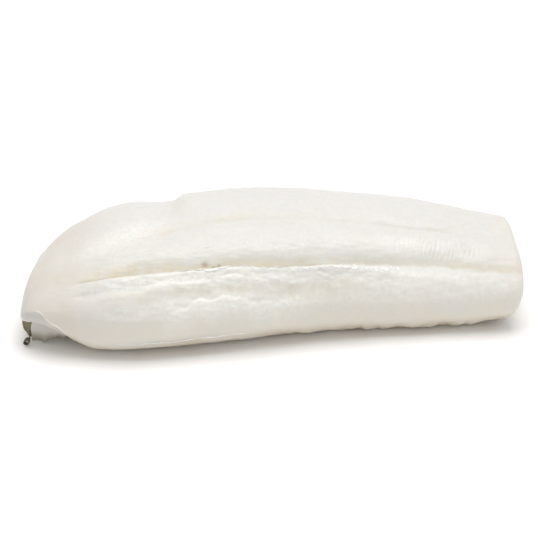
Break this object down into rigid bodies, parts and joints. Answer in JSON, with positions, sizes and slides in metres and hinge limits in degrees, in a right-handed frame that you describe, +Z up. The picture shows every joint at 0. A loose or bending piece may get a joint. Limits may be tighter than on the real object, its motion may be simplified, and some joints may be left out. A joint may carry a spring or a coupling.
{
  "type": "salt cod loin",
  "caption": "Thick whole loin of salt cod, soaked and skinned, with a long open muscle seam, a rounded end, a square cut end and a last scrap of skin; lies flat.",
  "frame": {"origin": "on the ground, under the middle of the object's box", "axes": "+X along the loin from its rounded end to its square cut end, +Y from the side with the open seam to the far side, +Z up"},
  "size_m": [0.283, 0.1158, 0.061],
  "materials": {
    "cod_flesh": "moist, slightly translucent fish flesh with a thin membrane; off-white, warm beige in the seams",
    "cod_skin": "moist fish skin, pale grey on its inner side and olive brown on its outer side"
  },
  "bodies": {
    "root": {"loin": "cod_flesh", "skin_scrap": "cod_skin"}
  },
  "joints": []
}
